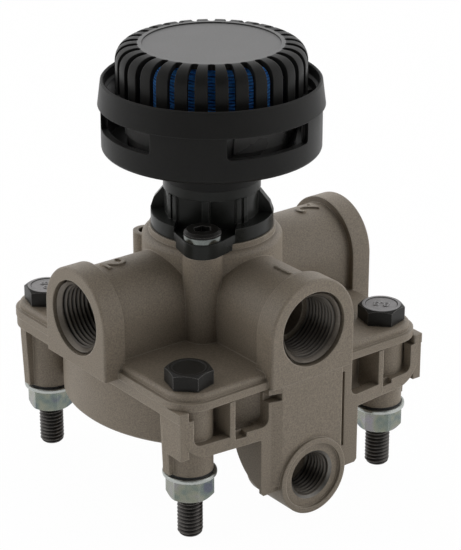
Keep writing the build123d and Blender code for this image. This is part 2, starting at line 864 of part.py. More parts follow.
with BuildPart() as exhaust_neck:
    snap_r = spigot_r - 2 * run_gap
    tab_x = column_circle_r + tab_r * math.cos(math.radians(tab_side_deg))
    tab_y = tab_r * math.sin(math.radians(tab_side_deg))
    with BuildSketch(Plane.XY.offset(top_z)):
        Circle(band_r)
    extrude(amount=band_h)
    # screw tabs, tangent to the band
    for turn in (45, 225):
        with BuildSketch(Plane.XY.offset(ledge_z)):
            with Locations(Rotation(0, 0, turn)):
                with Locations((column_circle_r, 0)):
                    Circle(tab_r)
                Polygon(
                    (tab_x, -tab_y),
                    (tab_x, tab_y),
                    (math.sqrt(band_r**2 - recess_half_w**2), recess_half_w),
                    (0, recess_half_w),
                    (0, -recess_half_w),
                    (math.sqrt(band_r**2 - recess_half_w**2), -recess_half_w),
                    align=None,
                )
        extrude(amount=head_z - ledge_z)
    with BuildSketch(Plane.XY.offset(ledge_z)):
        Circle(ring_r + 2 * run_gap)
    extrude(amount=ring_h, mode=Mode.SUBTRACT)
    # body, staves and fins
    with BuildSketch(Plane.XY.offset(neck_z)):
        Circle(neck_r)
        with PolarLocations(neck_r, 4, start_angle=45 + stave_deg):
            Rectangle(stave_t, stave_t)
        with PolarLocations(neck_r, 4, start_angle=45 - stave_deg):
            Rectangle(stave_t, stave_t)
    extrude(amount=neck_h)
    for turn in (135, 315):
        with BuildSketch(Plane.XZ.rotated((0, 0, turn))):
            Polygon(
                (neck_r - sink, neck_z - sink),
                (band_r, neck_z - sink),
                (band_r, neck_z + fin_edge_h),
                (band_r - fin_step, neck_z + fin_step_h),
                (neck_r + fin_top_t, neck_ring_z - fin_top_drop),
                (neck_r - sink, neck_ring_z - fin_top_drop),
                align=None,
            )
        extrude(amount=fin_t / 2, both=True)
    # tool recesses over the two screws, with a rib in the middle of each
    with BuildSketch(Plane.XY.offset(head_z)):
        for turn in (45, 225):
            with Locations(Rotation(0, 0, turn)):
                with Locations((neck_inner_r, 0)):
                    Rectangle(column_circle_r, 2 * recess_half_w, align=(Align.MIN, Align.CENTER))
    extrude(amount=neck_ring_z - head_z, mode=Mode.SUBTRACT)
    with BuildSketch(Plane.XY.offset(head_z)):
        Circle(neck_inner_r)
        with Locations(Rotation(0, 0, 45)):
            Rectangle(2 * (column_circle_r - screw_head_r - recess_rib_gap), recess_rib_t)
    extrude(amount=neck_ring_z - head_z)
    # top ring, the spigot that carries the silencer, and the foot in the cup
    with BuildSketch(Plane.XY.offset(neck_ring_z)):
        Circle(neck_ring_r)
    extrude(amount=neck_ring_h)
    with BuildSketch(Plane.XY.offset(silencer_z)):
        Circle(snap_r)
    extrude(amount=spigot_h)
    with BuildSketch(Plane.XY.offset(top_z)):
        Circle(neck_foot_r)
    extrude(amount=-neck_foot_h)
    # exhaust bore, groove of the snap ring and groove of the seal
    with BuildSketch(Plane.XZ):
        Polygon(
            (0, top_z - neck_foot_h),
            (guide_hub_r + funnel_gap, top_z - neck_foot_h),
            (guide_hub_r + funnel_gap, top_z + funnel_low),
            (neck_bore_r, top_z + funnel_low + funnel_h),
            (neck_bore_r, silencer_z + spigot_h),
            (0, silencer_z + spigot_h),
            align=None,
        )
        with Locations((snap_in, snap_z)):
            Rectangle(snap_r - snap_in + cut_over, snap_h, align=(Align.MIN, Align.MIN))
        with Locations((spigot_r - 2 * silencer_seal_r, silencer_seal_z)):
            Rectangle(
                2 * silencer_seal_r + cut_over,
                2 * groove_ratio * silencer_seal_r,
                align=(Align.MIN, Align.CENTER),
            )
    revolve(axis=Axis.Z, mode=Mode.SUBTRACT)
    with BuildSketch(Plane.XY.offset(ledge_z)):
        with screw_spots:
            Circle(screw_r + 2 * run_gap)
    extrude(amount=neck_z - ledge_z, mode=Mode.SUBTRACT)
exhaust_neck.part.label = "exhaust_neck"
export_step(exhaust_neck.part, "parts/exhaust_neck.step")

with BuildPart() as neck_seal:
    with BuildSketch(Plane.XZ):
        with Locations((neck_seal_mean_r, top_z - neck_seal_r)):
            Circle(neck_seal_r)
    revolve(axis=Axis.Z)
neck_seal.part.label = "neck_seal"
export_step(neck_seal.part, "parts/neck_seal.step")

with BuildPart() as neck_screws:
    with BuildSketch(Plane.XY.offset(head_z)):
        with screw_spots:
            Circle(screw_head_r)
    extrude(amount=screw_head_h)
    chamfer(neck_screws.edges().group_by(Axis.Z)[-1], screw_chamfer)
    with BuildSketch(Plane.XY.offset(head_z + screw_head_h)):
        with screw_spots:
            RegularPolygon(screw_socket_flats / 2, 6, major_radius=False)
    extrude(amount=-screw_socket_h, mode=Mode.SUBTRACT)
    with BuildSketch(Plane.XY.offset(head_z)):
        with screw_spots:
            Circle(screw_r)
    extrude(amount=-screw_len)
neck_screws.part.label = "neck_screws"
export_step(neck_screws.part, "parts/neck_screws.step")

with BuildPart() as silencer_bowl:
    # collar, floor, outer shell and the bell that carries the cage, in one section
    with BuildSketch(Plane.XZ):
        Polygon(
            (spigot_r, silencer_z),
            (foot_collar_r, silencer_z),
            (foot_collar_r, base_z),
            (shell_r, base_z),
            (shell_r, band_z),
            (shell_band_r, band_z),
            (rim_r, rim_z - rim_round),
            (rim_r - rim_round, rim_z),
            (rim_in_r, rim_z - rim_round),
            (rim_in_r, rim_z - rim_land_h),
            (shell_in_r, rim_z - rim_land_h - rim_step_h),
            (shell_in_r, base_top),
            (bell_foot_r, base_top),
            (bell_top_r, bell_top - bell_flange_h),
            (bell_flange_r, bell_top - bell_flange_h),
            (bell_flange_r, bell_top),
            (bell_top_r, bell_top),
            (bell_top_r, bell_top + bell_lip_h),
            (bell_top_r - bell_t, bell_top + bell_lip_h),
            (bell_foot_r - bell_t, base_top),
            (spigot_r, base_top),
            align=None,
        )
    revolve(axis=Axis.Z)
    base_edges = silencer_bowl.edges().filter_by(GeomType.CIRCLE).group_by(Axis.Z)[1]
    fillet(base_edges.sort_by(SortBy.RADIUS)[-1], shell_round)
    # windows in the shell
    window_w = 2 * shell_r * math.sin(math.radians(window_deg / 2))
    window_turns = [window_turn + 360 / window_count * step for step in range(window_count)]
    for turn in window_turns:
        with BuildSketch(Plane.XZ.rotated((0, 0, turn + 90)).offset(bell_flange_r)) as window:
            with Locations((0, band_z)):
                Rectangle(window_w, window_h, align=(Align.CENTER, Align.MAX))
            fillet(window.vertices().group_by(Axis.Y)[0], window_round)
        extrude(amount=shell_r, mode=Mode.SUBTRACT)
    # hood behind each window, curving from the top of the window down to the bell
    hood_z = band_z - hood_h
    hood_w = shell_in_r + sink - bell_foot_r - bell_taper * (hood_z - base_top) / bell_h - hood_off
    for turn in window_turns:
        with BuildSketch(Plane.XZ.rotated((0, 0, turn - hood_deg / 2))):
            with BuildLine():
                under = EllipticalCenterArc(
                    (shell_in_r + sink, hood_z), hood_w, hood_h, start_angle=90, arc_size=90
                )
                over = EllipticalCenterArc(
                    (shell_in_r + sink, hood_z), hood_w + hood_t, hood_h + hood_t, start_angle=90, arc_size=90
                )
                Line(under @ 0, over @ 0)
                Line(under @ 1, over @ 1)
            make_face()
        revolve(axis=Axis.Z, revolution_arc=hood_deg)
    # groove of the snap ring
    with BuildSketch(Plane.XZ):
        with Locations((spigot_r, snap_z)):
            Rectangle(snap_out - spigot_r, snap_h, align=(Align.MIN, Align.MIN))
    revolve(axis=Axis.Z, mode=Mode.SUBTRACT)
silencer_bowl.part.label = "silencer_bowl"
export_step(silencer_bowl.part, "parts/silencer_bowl.step")

with BuildPart() as silencer_seal:
    with BuildSketch(Plane.XZ):
        with Locations((spigot_r - silencer_seal_r, silencer_seal_z)):
            Circle(silencer_seal_r)
    revolve(axis=Axis.Z)
silencer_seal.part.label = "silencer_seal"
export_step(silencer_seal.part, "parts/silencer_seal.step")

with BuildPart() as silencer_snap_ring:
    with BuildSketch(Plane.XZ):
        with Locations(((snap_in + snap_out) / 2, snap_z + snap_h / 2)):
            Rectangle(snap_out - snap_in, snap_h)
    revolve(axis=Axis.Z, revolution_arc=360 - clip_gap_deg)
silencer_snap_ring.part.label = "silencer_snap_ring"
export_step(silencer_snap_ring.part, "parts/silencer_snap_ring.step")

with BuildPart() as filter_core:
    with BuildSketch(Plane.XZ):
        Polygon(
            (neck_bore_r, base_top),
            (core_cap_r, base_top),
            (core_cap_r, base_top + core_cap_h),
            (core_r, base_top + core_cap_h),
            (core_r, filter_top),
            (core_cap_r, filter_top),
            (core_cap_r, filter_top + core_cap_h),
            (neck_bore_r, filter_top + core_cap_h),
            align=None,
        )
    revolve(axis=Axis.Z)
    with BuildSketch(Plane.XY.offset(base_top + 2 * core_cap_h)):
        for turn in (0, 60, 120):
            with Locations(Rotation(0, 0, turn)):
                Rectangle(3 * core_r, core_slot_w)
    extrude(amount=filter_top - base_top - 3 * core_cap_h, mode=Mode.SUBTRACT)
filter_core.part.label = "filter_core"
export_step(filter_core.part, "parts/filter_core.step")

with BuildPart() as filter_element:
    with BuildSketch(Plane.XZ):
        Polygon(
            (core_r, base_top + core_cap_h),
            (filter_r, base_top + core_cap_h),
            (filter_r, filter_top - filter_edge),
            (filter_r - filter_edge, filter_top),
            (core_r, filter_top),
            align=None,
        )
    revolve(axis=Axis.Z)
filter_element.part.label = "filter_element"
export_step(filter_element.part, "parts/filter_element.step")

with BuildPart() as silencer_cage:
    # domed cage with a flat crest, a sunk disc in the middle and a rounded shoulder
    with BuildSketch(Plane.XZ):
        with BuildLine():
            crown = Polyline(
                (cage_r - shoulder_x, cage_top),
                (dish_r, cage_top),
                (dish_r, cage_top - dish_h),
                (0, cage_top - dish_h),
                (0, cage_top - cage_top_t),
                (cage_r - shoulder_x, cage_top - cage_top_t),
            )
            inner = EllipticalCenterArc(
                (cage_r - shoulder_x, cage_top - shoulder_z),
                shoulder_x - cage_t,
                shoulder_z - cage_top_t,
                start_angle=0,
                arc_size=90,
            )
            outer = EllipticalCenterArc(
                (cage_r - shoulder_x, cage_top - shoulder_z),
                shoulder_x,
                shoulder_z,
                start_angle=0,
                arc_size=90,
            )
            Polyline(inner @ 0, (cage_r - cage_t, bell_top), (cage_r, bell_top), outer @ 0)
        make_face()
    revolve(axis=Axis.Z)
    # slots with round ends, from the shoulder down to a ring at the foot
    slot_len = cage_r + slot_w - slot_in_r
    with BuildSketch(Plane.XY.offset(bell_top + slot_low)):
        with PolarLocations(slot_in_r + slot_len / 2, slot_count, start_angle=slot_turn):
            SlotOverall(slot_len, slot_w)
    extrude(amount=cage_h, mode=Mode.SUBTRACT)
silencer_cage.part.label = "silencer_cage"
export_step(silencer_cage.part, "parts/silencer_cage.step")
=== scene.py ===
import math

import bmesh
import bpy
from mathutils import Matrix, Vector


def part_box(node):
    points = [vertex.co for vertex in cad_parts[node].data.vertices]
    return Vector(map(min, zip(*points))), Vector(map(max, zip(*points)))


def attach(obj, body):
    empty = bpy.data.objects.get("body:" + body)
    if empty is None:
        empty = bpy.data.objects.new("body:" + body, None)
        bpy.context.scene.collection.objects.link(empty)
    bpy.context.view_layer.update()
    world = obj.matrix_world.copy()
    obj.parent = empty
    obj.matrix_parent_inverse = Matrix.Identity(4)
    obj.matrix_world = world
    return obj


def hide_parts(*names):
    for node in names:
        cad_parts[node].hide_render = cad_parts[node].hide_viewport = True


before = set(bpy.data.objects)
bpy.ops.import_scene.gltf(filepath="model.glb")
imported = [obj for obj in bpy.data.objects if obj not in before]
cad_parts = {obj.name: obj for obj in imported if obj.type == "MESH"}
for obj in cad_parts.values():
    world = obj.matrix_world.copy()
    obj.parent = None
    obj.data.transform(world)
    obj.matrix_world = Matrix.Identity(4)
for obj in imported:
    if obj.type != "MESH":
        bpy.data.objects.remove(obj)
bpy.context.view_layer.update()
scene = bpy.context.scene
MM = 0.001

# Sizes in millimetres, the same as in the part
BOLTS = [(sx * 38.0, sy * 38.7) for sx in (-1, 1) for sy in (-1, 1)]
SHANK_R = 3.6
HEAD_Z = 51.1
HEAD_H = 5.2
HEX_FLATS = 13.0
HEX_TURN = math.radians(45)
NUT_Z = 13.6
PORT_Z = 62.4
PORT_R = 10.19
CONTROL_Z = 12.7
CONTROL_R = 7.19
# Middle of each port's face, and the direction into it
PORTS = {
    "left": ((-52.9, 0, PORT_Z), (1, 0, 0)),
    "right": ((52.9, 0, PORT_Z), (-1, 0, 0)),
    "front": ((0, -51.0, PORT_Z), (0, 1, 0)),
    "control": ((0, -52.0, CONTROL_Z), (0, 1, 0)),
}

# Real threads, which the part has plain
STUD_PITCH = 1.25
STUD_ROOT_R = 3.35
STUD_DEPTH = 0.65
STUD_TIP_R = 3.1
STUD_IN_NUT = 1.5
PORT_PITCH = 1.5

# The photograph's view, solved from the port mouths, the studs and the silencer
CAMERA_AT = (-374.202, -496.590, 329.984)
CAMERA_LOOK = (0.5598, 0.7286, -0.3947)
SENSOR_MM = 36.0
FOCAL_PX = 2118.6
PHOTO_WIDTH_PX = 461.0
VIEW_AZIMUTH = 52.5


# Shader nodes


def empty_tree(owner, output):
    """The node tree of a material or a world, with its output alone."""
    owner.use_nodes = True
    tree = owner.node_tree
    tree.nodes.clear()
    return tree, tree.nodes.new(output)


def node_tree(name):
    mat = bpy.data.materials.new(name)
    tree, out = empty_tree(mat, "ShaderNodeOutputMaterial")
    shader = tree.nodes.new("ShaderNodeBsdfPrincipled")
    tree.links.new(shader.outputs[0], out.inputs[0])
    return mat, tree, shader


def feed(tree, socket, value):
    """Link another node's output to a socket, or write a plain value in it."""
    if isinstance(value, bpy.types.NodeSocket):
        tree.links.new(value, socket)
    else:
        socket.default_value = value


def object_coords(tree):
    return tree.nodes.new("ShaderNodeTexCoord").outputs["Object"]


def noise(tree, coords, scale, detail, rough=0.55):
    node = tree.nodes.new("ShaderNodeTexNoise")
    node.inputs["Scale"].default_value = scale
    node.inputs["Detail"].default_value = detail
    node.inputs["Roughness"].default_value = rough
    tree.links.new(coords, node.inputs["Vector"])
    return node.outputs[0]


def ramp(tree, source, stops):
    node = tree.nodes.new("ShaderNodeValToRGB")
    elements = node.color_ramp.elements
    while len(elements) < len(stops):
        elements.new(0.5)
    for element, (place, colour) in zip(elements, stops):
        element.position = place
        element.color = (*colour, 1)
    tree.links.new(source, node.inputs[0])
    return node.outputs[0]


def two_tones(tree, source, low, high):
    """From one colour to the other over the middle of a noise."""
    return ramp(tree, source, [(0.3, low), (0.7, high)])


def mix(tree, factor, a, b):
    node = tree.nodes.new("ShaderNodeMix")
    node.data_type = "RGBA"
    sockets = [s for s in node.inputs if s.enabled]
    for socket, value in zip(sockets, (factor, a, b)):
        feed(tree, socket, (*value, 1) if isinstance(value, tuple) else value)
    return [s for s in node.outputs if s.enabled][0]


def math_node(tree, operation, *values, clamp=False):
    node = tree.nodes.new("ShaderNodeMath")
    node.operation = operation
    node.use_clamp = clamp
    for socket, value in zip(node.inputs, values):
        feed(tree, socket, value)
    return node.outputs[0]


def dot_product(tree, a, b):
    node = tree.nodes.new("ShaderNodeVectorMath")
    node.operation = "DOT_PRODUCT"
    for socket, value in zip(node.inputs, (a, b)):
        feed(tree, socket, value)
    return node.outputs["Value"]


def edge_mask(tree, radius, gain):
    """White where the surface turns sharply, and the rounded normal that it is found by."""
    bevel = tree.nodes.new("ShaderNodeBevel")
    bevel.samples = 6
    bevel.inputs["Radius"].default_value = radius
    geometry = tree.nodes.new("ShaderNodeNewGeometry")
    alike = dot_product(tree, bevel.outputs[0], geometry.outputs["Normal"])
    away = math_node(tree, "SUBTRACT", 1.0, alike, clamp=True)
    return math_node(tree, "MULTIPLY", away, gain, clamp=True), bevel.outputs[0]


def bump(tree, height, strength, distance, normal=None):
    node = tree.nodes.new("ShaderNodeBump")
    node.inputs["Strength"].default_value = strength
    node.inputs["Distance"].default_value = distance
    tree.links.new(height, node.inputs["Height"])
    if normal is not None:
        tree.links.new(normal, node.inputs["Normal"])
    return node.outputs[0]


def relief(tree):
    """The height that a piece keeps for each point, 0 in its grooves and 1 on its crests."""
    node = tree.nodes.new("ShaderNodeAttribute")
    node.attribute_name = "relief"
    return node.outputs["Fac"]


def keep_relief(obj, values):
    obj.data.attributes.new("relief", "FLOAT", "POINT").data.foreach_set("value", values)


# Materials

GRAIN_HEIGHT = 0.00012
SPECK_DARK = 0.68
SPECK_LIGHT = 1.25


def surface(name, dark, light, rough, metal=0.0, edge=None, edge_gain=3.0, edge_radius=0.0005,
            mottle=60.0, grain=2200.0, grain_mix=0.25, bump_strength=0.2, specular=0.5, root=None):
    """A moulded, cast or turned surface: two tones, fine grain and a painted highlight along its
    edges.

    edge is the colour of the painted highlight along edges and sharp corners, root the colour of
    the painted shade in grooves on pieces that keep a relief.
    """
    mat, tree, shader = node_tree(name)
    coords = object_coords(tree)
    broad = noise(tree, coords, mottle, 4.0)
    fine = noise(tree, coords, grain, 2.0, 0.6)
    tone = two_tones(tree, broad, dark, light)
    speck = two_tones(tree, fine, tuple(SPECK_DARK * c for c in dark),
                      tuple(SPECK_LIGHT * c for c in light))
    colour = mix(tree, grain_mix, tone, speck)
    mask, rounded = edge_mask(tree, edge_radius, edge_gain)
    # Painted highlight: the edge colour where the surface turns sharply, in hollow corners too
    if edge is not None:
        colour = mix(tree, mask, colour, edge)
    # Painted shade: the root colour in the grooves, by the relief kept on the points
    if root is not None:
        colour = mix(tree, relief(tree), root, colour)
    tree.links.new(colour, shader.inputs["Base Color"])
    gloss = two_tones(tree, broad, (rough[0],) * 3, (rough[1],) * 3)
    tree.links.new(gloss, shader.inputs["Roughness"])
    shader.inputs["Metallic"].default_value = metal
    shader.inputs["Specular IOR Level"].default_value = specular
    grained = bump(tree, fine, bump_strength, GRAIN_HEIGHT, rounded)
    tree.links.new(grained, shader.inputs["Normal"])
    return mat


# The edge colours below are painted highlights along edges and sharp corners
casting = surface(
    "casting", (0.197, 0.161, 0.120), (0.239, 0.199, 0.151), rough=(0.50, 0.62),
    edge=(0.40, 0.35, 0.28), edge_gain=3.2, edge_radius=0.0006,
    mottle=45.0, grain=2400.0, grain_mix=0.65, bump_strength=0.45, specular=0.45)
machined = surface(
    "machined", (0.30, 0.29, 0.27), (0.42, 0.41, 0.39), rough=(0.28, 0.36), metal=0.85,
    edge=(0.6, 0.6, 0.58), mottle=300.0, grain=4000.0, bump_strength=0.05)
black_steel = surface(
    "black_steel", (0.012, 0.011, 0.010), (0.020, 0.019, 0.017), rough=(0.32, 0.45),
    edge=(0.30, 0.29, 0.28), edge_gain=4.0, edge_radius=0.0003,
    mottle=250.0, grain=3000.0, grain_mix=0.5, specular=0.15)
# root: painted shade in the grooves of the studs' threads
stud_steel = surface(
    "stud_steel", (0.085, 0.078, 0.072), (0.16, 0.15, 0.14), rough=(0.26, 0.38), metal=0.8,
    mottle=400.0, bump_strength=0.1, root=(0.010, 0.009, 0.009))
worn_top = surface(
    "worn_top", (0.15, 0.145, 0.145), (0.25, 0.24, 0.24), rough=(0.42, 0.5), metal=0.5,
    edge=(0.42, 0.42, 0.42), mottle=500.0, grain=3000.0, bump_strength=0.3)
silencer_plastic = surface(
    "silencer_plastic", (0.013, 0.0128, 0.0122), (0.017, 0.0168, 0.016), rough=(0.36, 0.44),
    edge=(0.06, 0.059, 0.057), edge_gain=1.5, edge_radius=0.0004,
    mottle=90.0, grain=2600.0, bump_strength=0.25, specular=0.12)
# Painted sheen: a lighter copy of the silencer plastic for the cage's upward faces
top_sheen_plastic = surface(
    "top_sheen_plastic", (0.046, 0.045, 0.0447), (0.076, 0.0745, 0.074), rough=(0.46, 0.54),
    edge=(0.06, 0.06, 0.06), edge_gain=1.0, edge_radius=0.0003,
    grain=2600.0, grain_mix=0.5, bump_strength=0.35, specular=1.0)
neck_plastic = surface(
    "neck_plastic", (0.014, 0.0148, 0.0132), (0.021, 0.022, 0.020), rough=(0.26, 0.36),
    edge=(0.09, 0.09, 0.085), edge_gain=1.8, edge_radius=0.0004,
    mottle=120.0, bump_strength=0.12, specular=0.17)
# root: painted shade in the grooves of the ports' threads
thread_metal = surface(
    "thread_metal", (0.120, 0.103, 0.083), (0.175, 0.150, 0.122), rough=(0.32, 0.44), metal=0.3,
    mottle=300.0, bump_strength=0.15, root=(0.018, 0.015, 0.012))
chamfer_metal = surface(
    "chamfer_metal", (0.15, 0.14, 0.13), (0.23, 0.22, 0.20), rough=(0.34, 0.46), metal=0.7,
    mottle=500.0, grain=4000.0, bump_strength=0.1)
# Painted light: a paler, glossier copy of the silencer plastic for the coves behind the windows
lit_cove_plastic = surface(
    "lit_cove_plastic", (0.070, 0.069, 0.067), (0.095, 0.094, 0.092), rough=(0.24, 0.32),
    mottle=90.0, grain=2600.0, bump_strength=0.15, specular=1.0)
# Painted reflection: bright metal for thin bands laid round the neck screws' heads
painted_reflection_metal = surface(
    "painted_reflection_metal", (0.13, 0.14, 0.135), (0.19, 0.205, 0.195), rough=(0.16, 0.22), metal=1.0,
    mottle=300.0, bump_strength=0.05)
zinc_rim = surface(
    "zinc_rim", (0.33, 0.35, 0.33), (0.52, 0.54, 0.52), rough=(0.26, 0.36), metal=0.9,
    mottle=350.0, bump_strength=0.1)
rubber = surface(
    "rubber", (0.012, 0.012, 0.012), (0.018, 0.018, 0.017), rough=(0.55, 0.65), mottle=200.0)
brass = surface(
    "brass", (0.50, 0.36, 0.14), (0.62, 0.46, 0.20), rough=(0.25, 0.35), metal=1.0,
    mottle=200.0, bump_strength=0.05)
spring_steel = surface(
    "spring_steel", (0.30, 0.30, 0.31), (0.42, 0.42, 0.43), rough=(0.25, 0.35), metal=1.0,
    mottle=300.0, bump_strength=0.05)


def zinc_material():
    """Passivated zinc: metal with slow green, blue and straw tints."""
    mat, tree, shader = node_tree("zinc")
    coords = object_coords(tree)
    tint = ramp(tree, noise(tree, coords, 130.0, 2.0), [
        (0.34, (0.08, 0.09, 0.13)), (0.44, (0.14, 0.175, 0.155)),
        (0.54, (0.23, 0.24, 0.185)), (0.66, (0.25, 0.235, 0.26))])
    fine = noise(tree, coords, 1500.0, 3.0)
    mask, rounded = edge_mask(tree, 0.0004, 1.5)
    speck = two_tones(tree, fine, (0.14, 0.15, 0.15), (0.36, 0.37, 0.36))
    colour = mix(tree, 0.15, tint, speck)
    # Painted highlight: pale metal colour on the edges
    colour = mix(tree, mask, colour, (0.72, 0.74, 0.72))
    tree.links.new(colour, shader.inputs["Base Color"])
    gloss = two_tones(tree, fine, (0.20,) * 3, (0.32,) * 3)
    tree.links.new(gloss, shader.inputs["Roughness"])
    shader.inputs["Metallic"].default_value = 0.95
    tree.links.new(bump(tree, fine, 0.12, 0.0001, rounded), shader.inputs["Normal"])
    return mat


def filter_material():
    """Wound blue thread: strands that cross, with painted shade between them."""
    mat, tree, shader = node_tree("filter_thread")
    coords = object_coords(tree)
    fibre = noise(tree, coords, 2600.0, 3.0)
    broad = noise(tree, coords, 300.0, 2.0)
    deep = (0.02, 0.20, 0.85)
    colour = mix(tree, 0.5, two_tones(tree, fibre, deep, (0.14, 0.50, 1.0)),
                 two_tones(tree, broad, deep, (0.10, 0.44, 1.0)))
    # Painted shade: a deep blue in the grooves between strands, by the relief kept on the points
    colour = mix(tree, relief(tree), (0.008, 0.035, 0.13), colour)
    tree.links.new(colour, shader.inputs["Base Color"])
    shader.inputs["Roughness"].default_value = 0.8
    shader.inputs["Specular IOR Level"].default_value = 0.2
    tree.links.new(bump(tree, fibre, 0.6, 0.0002), shader.inputs["Normal"])
    return mat


zinc = zinc_material()
filter_thread = filter_material()

# Nodes that aren't named here are seals and washers of rubber
NODE_MATERIALS = {
    "upper_housing": casting,
    "lower_housing": casting,
    "flange_nuts": zinc,
    "housing_bolts": black_steel,
    "relay_piston": machined,
    "inlet_valve": brass,
    "valve_spring": spring_steel,
    "valve_guide": machined,
    "retaining_ring": spring_steel,
    "silencer_snap_ring": spring_steel,
    "exhaust_neck": neck_plastic,
    "neck_screws": black_steel,
    "silencer_bowl": silencer_plastic,
    "silencer_cage": silencer_plastic,
    "filter_core": silencer_plastic,
    "filter_element": filter_thread,
}


def smooth_shaded(mesh, degrees):
    """Smooth shading, with edges sharper than the angle kept sharp."""
    mesh.polygons.foreach_set("use_smooth", [True] * len(mesh.polygons))
    mesh.set_sharp_from_angle(angle=math.radians(degrees))


for name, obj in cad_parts.items():
    obj.data.materials.clear()
    obj.data.materials.append(NODE_MATERIALS.get(name, rubber))
    smooth_shaded(obj.data, 28)


# Mesh helpers, all in millimetres


def mesh_piece(name, verts, faces, mat, smooth):
    """A piece of the housing's body; smooth is the angle in degrees where its edges turn sharp."""
    mesh = bpy.data.meshes.new(name)
    mesh.from_pydata([[c * MM for c in v] for v in verts], [], faces)
    mesh.validate()
    obj = bpy.data.objects.new(name, mesh)
    scene.collection.objects.link(obj)
    mesh.materials.append(mat)
    smooth_shaded(mesh, smooth)
    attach(obj, "housing")
    return obj


def second_material(obj, mat, chosen):
    """Give the chosen faces another material."""
    obj.data.materials.append(mat)
    for poly in obj.data.polygons:
        if chosen(poly):
            poly.material_index = 1


def angle_at(step, count):
    return 2 * math.pi * step / count


def grid_faces(rows, columns, start=0):
    """Faces between closed rings of points, from the vertex numbered start."""
    faces = []
    for i in range(rows - 1):
        for j in range(columns):
            a = start + i * columns + j
            b = start + i * columns + (j + 1) % columns
            faces.append((a, b, b + columns, a + columns))
    return faces


def ring_rows(rows, count, place=lambda x, y, z: (x, y, z)):
    """Rings of points, one for each (radius, height), put in their place."""
    verts = []
    for r, z in rows:
        for j in range(count):
            a = angle_at(j, count)
            verts.append(place(r * math.cos(a), r * math.sin(a), z))
    return verts


def turned_rows(rows, count, x, y):
    """Rings of points about an upright axis; each row gives radius and height for an angle."""
    verts = []
    for row in rows:
        for j in range(count):
            a = angle_at(j, count)
            r, z = row(a)
            verts.append((x + r * math.cos(a), y + r * math.sin(a), z))
    return verts


def thread_rows(z_low, z_high, pitch, per_pitch):
    steps = int((z_high - z_low) / pitch * per_pitch)
    return [z_low + (z_high - z_low) * i / steps for i in range(steps + 1)]


def thread_wave(z, angle, pitch):
    """0 at the root and 1 at the crest of a right-hand thread."""
    t = (z / pitch - angle / (2 * math.pi)) % 1.0
    return max(0.0, min(1.0, 2.4 * (0.5 - abs(t - 0.5)) - 0.15))


def hex_radius(angle):
    """From a hexagon's axis to its side, in the direction of the angle."""
    a = (angle - HEX_TURN + math.pi / 6) % (math.pi / 3) - math.pi / 6
    return HEX_FLATS / 2 / math.cos(a)


# Bolts and nuts


def bolt_head(name, x, y, top_mat):
    """Hexagon head with a rounded crown and a shallow dish."""
    count = 48
    foot, crown_r, slope, rim_in, dish_in, dish = 0.25, 6.15, 0.55, 0.9, 1.2, 0.18
    top = HEAD_Z + HEAD_H
    rows = [
        lambda a: (SHANK_R, HEAD_Z),
        lambda a: (hex_radius(a) - foot, HEAD_Z),
        lambda a: (hex_radius(a), HEAD_Z + foot),
        lambda a: (hex_radius(a), top - slope * max(0.0, hex_radius(a) - crown_r)),
        lambda a: (min(crown_r, hex_radius(a)), top),
        lambda a: (crown_r - rim_in, top),
        lambda a: (crown_r - dish_in, top - dish),
    ]
    verts = turned_rows(rows, count, x, y)
    faces = grid_faces(len(rows), count)
    centre = len(verts)
    verts.append((x, y, top - dish))
    last = centre - count
    faces += [(last + j, last + (j + 1) % count, centre) for j in range(count)]
    head = mesh_piece(name, verts, faces, black_steel, smooth=22.0)
    second_material(head, top_mat, lambda poly: poly.normal.z > 0.95)
    return head


def bolt_shank(name, x, y):
    """Plain shank up to the head, with the thread on its free end."""
    count = 32
    levels = thread_rows(0.0, NUT_Z + STUD_IN_NUT, STUD_PITCH, 7)
    verts, crests = [], []
    for z in levels:
        for j in range(count):
            a = angle_at(j, count)
            crest = thread_wave(z, a, STUD_PITCH)
            r = min(STUD_ROOT_R + STUD_DEPTH * crest, STUD_TIP_R + z)
            crests.append(crest)
            verts.append((x + r * math.cos(a), y + r * math.sin(a), z))
    plain = [(SHANK_R, levels[-1] + 0.3), (SHANK_R, HEAD_Z)]
    verts += ring_rows(plain, count, lambda a, b, c: (x + a, y + b, c))
    crests += [0.5] * len(plain) * count
    tip = len(verts)
    verts.append((x, y, 0.0))
    crests.append(1.0)
    faces = grid_faces(len(levels) + len(plain), count)
    faces += [(tip, (j + 1) % count, j) for j in range(count)]
    shank = mesh_piece(name, verts, faces, stud_steel, smooth=60.0)
    # The relief sets the painted shade in the thread's grooves
    keep_relief(shank, crests)


def at_front(x, y):
    """The bolt at the front corner, whose head is black and bare."""
    return x < 0 and y < 0


for index, (x, y) in enumerate(BOLTS):
    top_mat = black_steel if at_front(x, y) else worn_top
    bolt_head("bolt_%d_head" % index, x, y, top_mat)
    bolt_shank("bolt_%d_thread" % index, x, y)
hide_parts("housing_bolts")


# Ports


def port_frame(face):
    """Local x, y, z of a port, z looking into it, to the part's own millimetres."""
    origin, inward = (Vector(v) for v in PORTS[face])
    up = Vector((0, 0, 1))
    side = up.cross(inward)
    return lambda a, b, c: tuple(origin + side * a + up * b + inward * c)


